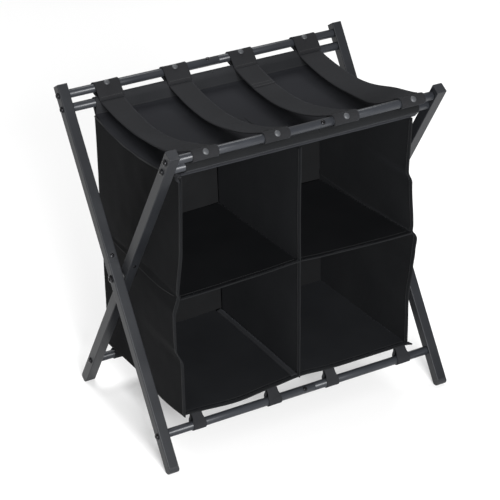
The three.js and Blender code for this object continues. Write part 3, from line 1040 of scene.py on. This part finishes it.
DEPTH = 2 * TOP_Y
HEIGHT = TOP_Z - BASE_Z
# The left wall takes the darker copy of the cloth: painted shade.
for side in SIDES:
    panel(
        f"side_cloth_{side}",
        side_place(side),
        (DEPTH, HEIGHT),
        (70, 110),
        SHADED_LEFT_WALL_CLOTH if side == "left" else CLOTH,
        CLOTH_THICK,
        [f"side_panel_{side}"],
    )
panel(
    "divider_cloth",
    divider_place,
    (DEPTH, HEIGHT),
    (60, 100),
    CLOTH,
    CLOTH_THICK,
    ["divider_panel"],
)
panel(
    "rear_cloth",
    rear_place,
    (2 * HALF_WIDTH, HEIGHT),
    (120, 110),
    CLOTH,
    CLOTH_THICK,
    ["rear_wall"],
)
panel(
    "floor_cloth",
    floor_place,
    (2 * HALF_WIDTH, 2 * FOOT_Y),
    (120, 70),
    BOARD_CLOTH,
    BOARD_THICK,
    ["floor_panel"],
)
# The shelves take the darker copy of the cloth: painted shade.
for side in SIDES:
    panel(
        f"shelf_cloth_{side}",
        shelf_place(side),
        (HALF_WIDTH, DEPTH),
        (60, 70),
        SHADED_SHELF_CLOTH,
        BOARD_THICK,
        [f"shelf_{side}"],
    )


def strip_of(place, u_range, v_range):
    """Part of a cloth surface, as a surface of its own."""
    return lambda u, v: place(mix(*u_range, u), mix(*v_range, v))


def hem(name, place, u_range, v_range, cut, steps, on, thickness=HEM_THICK):
    piece = cloth(name, strip_of(place, u_range, v_range), cut, steps, thickness, EDGE_CLOTH)
    hang(piece)
    flat = (max(cut[0], LEAST_CUT), max(cut[1], LEAST_CUT))


hem_u = HEM_WIDTH / DEPTH
shelf_v = (SHELF_Z - BASE_Z) / HEIGHT
front_strip = ((-0.004, hem_u), (0, 1), (HEM_WIDTH, HEIGHT))
for side in SIDES:
    place = side_place(side)
    hem(f"front_hem_{side}", place, *front_strip, (4, 110), f"side_cloth_{side}")
    sew(organizer_thread, place, (hem_u * 0.8, 0.01), (hem_u * 0.8, 0.99), HEM_THICK / 2)
    sew(organizer_thread, place, (0.06, shelf_v), (0.97, shelf_v), CLOTH_THICK / 2)
hem("divider_hem", divider_place, *front_strip, (4, 100), "divider_cloth")
sew(organizer_thread, divider_place, (hem_u * 0.8, 0.01), (hem_u * 0.8, 0.99), HEM_THICK / 2)
SHELF_HEM = 5 * MM
FLOOR_HEM = 7 * MM
FLOOR_HEM_THICK = 2.4 * MM
for side in SIDES:
    place = shelf_place(side)
    hem(
        f"shelf_hem_{side}",
        place,
        (0.005, 0.995),
        (-0.006, SHELF_HEM / DEPTH),
        (HALF_WIDTH, SHELF_HEM),
        (60, 3),
        f"shelf_cloth_{side}",
        thickness=BOARD_THICK,
    )
    sew(organizer_thread, place, (0.02, 0.034), (0.98, 0.034), 0.9 * MM)
hem(
    "floor_hem",
    floor_place,
    (0.003, 0.997),
    (-0.004, 0.024),
    (2 * HALF_WIDTH, FLOOR_HEM),
    (120, 3),
    "floor_cloth",
    thickness=FLOOR_HEM_THICK,
)
sew(organizer_thread, floor_place, (0.01, 0.036), (0.99, 0.036), 0.9 * MM)


# The divider's foot: its seam allowance lies flat on the floor, on the left.
def welt_place(u, v):
    y = mix(-FOOT_Y + 4 * MM, FOOT_Y - 8 * MM, v)
    x = divider_x(y, BASE_Z) - 15 * MM + 12 * MM * u
    share = (x + HALF_WIDTH) / (2 * HALF_WIDTH)
    base = floor_place(share, (y + FOOT_Y) / (2 * FOOT_Y))
    return Vector((x, y, base.z + 1.9 * MM + 1.6 * MM * math.sin(math.pi * u) ** 0.6))


welt = cloth("divider_welt", welt_place, (12 * MM, 2 * FOOT_Y), (10, 70), 1.4 * MM, HEM_CLOTH)
hang(welt)
sew(organizer_thread, welt_place, (0.2, 0.02), (0.2, 0.98), 0.8 * MM, both=False)


# Piping along the side walls' top edges.
PIPING = 1.5 * MM


def piping_place(side):
    def place(u, v):
        y = mix(-TOP_Y + SLEEVE_TIP_IN + 1 * MM, TOP_Y - SLEEVE_TIP_IN - 1 * MM, v)
        z = roof_line(y) - 1.5 * MM
        x = wall_x(side, y, z) + SIDES[side] * 0.6 * MM
        turn = 2 * math.pi * u
        return Vector((x + PIPING * math.cos(turn), y, z + PIPING * math.sin(turn)))

    return place


for side in SIDES:
    mesh = bmesh.new()
    uv = mesh.loops.layers.uv.new("cut")
    bmesh.ops.create_grid(mesh, x_segments=10, y_segments=90, size=0.5)
    for face in mesh.faces:
        for corner in face.loops:
            corner[uv].uv = (corner.vert.co.x * 8 * MM, corner.vert.co.y * DEPTH)
    place = piping_place(side)
    for vert in mesh.verts:
        vert.co = place(vert.co.x + 0.5, vert.co.y + 0.5)
    bmesh.ops.remove_doubles(mesh, verts=mesh.verts, dist=1e-5)
    bmesh.ops.holes_fill(mesh, edges=mesh.edges)
    bmesh.ops.recalc_face_normals(mesh, faces=mesh.faces)
    cord = finished(f"piping_{side}", mesh, PIPING_CLOTH)
    hang(cord)

stitching = finished("organizer_stitching", organizer_thread, THREAD, smooth=False)
hang(stitching)

# A small loop of binding left standing at the top of the left front edge.
CORNER_LOOP = 7 * MM


def corner_loop_place(u, v):
    turn = math.pi * 1.15 * v
    bow = CORNER_LOOP * (1 + 0.25 * math.sin(2 * turn))
    y = -TOP_Y + SLEEVE_TIP_IN + 2 * MM - bow * math.sin(turn) * 0.5 + 3 * MM * u
    z = LOW_ROD_Z - 24 * MM + bow * math.cos(turn)
    x = -HALF_WIDTH - 1 * MM - bow * math.sin(turn) * 0.7 - 2 * MM * u
    return Vector((x, y + 4 * MM * u, z))


corner_loop = cloth("corner_loop", corner_loop_place, (10 * MM, 26 * MM), (6, 20), 1.3 * MM, HEM_CLOTH)
hang(corner_loop)

# ---------------------------------------------------------------- tabs round the bottom rods
TAB_RADIUS = 9.2 * MM
TAB_CENTRES = (-218 * MM, -60 * MM, 65 * MM, 224 * MM)
TAB_WIDTHS = (26 * MM, 27 * MM, 26 * MM, 28 * MM)
TAB_NECK = 0.2
tab_thread = bmesh.new()


def tab(end, number, centre, width):
    side = ENDS[end]
    y, z = axis_of("front_bottom_rod_left")
    y = side * abs(y)
    share = (centre + HALF_WIDTH) / (2 * HALF_WIDTH)
    floor_at = floor_place(share, 0.0 if end == "front" else 1.0)
    path = Loop((y, z), TAB_RADIUS, (y - side * 10 * MM, floor_at.z - 2.6 * MM), 2.4 * MM)

    def place(u, v):
        point = path.at(v)
        neck = smooth_step(point.y - z, 0.8 * TAB_RADIUS, 1.7 * TAB_RADIUS)
        x = centre + (2 * u - 1) * width / 2 * (1 - TAB_NECK * neck)
        wrinkle = 0.4 * MM * drift(x, point.x, point.y, 0.018, 21.0 + number)
        away = (point - Vector((y, z))).normalized()
        return Vector((x, point.x + away.x * wrinkle, point.y + away.y * wrinkle))

    cut = (width, path.total)
    piece = cloth(f"tab_{end}_{number}", place, cut, (10, 57), 1.6 * MM, HEM_CLOTH, closed=True)
    if number == 1:
        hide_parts("tab_strip_" + end)
    hang(piece)
    for row in (4 * MM / path.total, 1 - 6.4 * MM / path.total):
        sew(tab_thread, place, (0.08, row), (0.92, row), 0.8 * MM)


for end in ENDS:
    for number, (centre, width) in enumerate(zip(TAB_CENTRES, TAB_WIDTHS), start=1):
        tab(end, number, centre, width)
stitching = finished("tab_stitching", tab_thread, THREAD, smooth=False)
hang(stitching)

# ---------------------------------------------------------------- floor and light
STAGE_SIZE = 14.0
mesh = bmesh.new()
bmesh.ops.create_grid(mesh, x_segments=2, y_segments=2, size=STAGE_SIZE)
bmesh.ops.translate(mesh, verts=mesh.verts, vec=(0, 0, -0.0006))
stage_finish, _, stage_shader = new_finish("pale_floor", 0.9, specular=0.1)
stage_shader.inputs["Base Color"].default_value = (0.58, 0.58, 0.58, 1)
stage_shader.inputs["Emission Color"].default_value = (1, 1, 1, 1)
stage_shader.inputs["Emission Strength"].default_value = 0.3
stage_floor = finished("studio_floor", mesh, stage_finish)


def add_light(name, place, target, size, power):
    data = bpy.data.lights.new(name, "AREA")
    data.shape = "RECTANGLE"
    data.size = size[0]
    data.size_y = size[1]
    data.energy = power
    light = bpy.data.objects.new(name, data)
    aim = (Vector(target) - Vector(place)).to_track_quat("-Z", "Y").to_matrix().to_4x4()
    light.matrix_world = Matrix.Translation(place) @ aim
    bpy.context.scene.collection.objects.link(light)


add_light("key", (-1.05, -3.6, 1.75), (0, 0, 0.3), (1.3, 1.3), 360)
add_light("overhead", (0.3, 1.6, 3.6), (0, 0.2, 0.3), (3.0, 1.8), 120)
world = bpy.data.worlds.new("studio")
world.use_nodes = True
world.node_tree.nodes["Background"].inputs["Color"].default_value = (1, 1, 1, 1)
world.node_tree.nodes["Background"].inputs["Strength"].default_value = 0.35
bpy.context.scene.world = world
bpy.context.scene.view_settings.view_transform = "Standard"
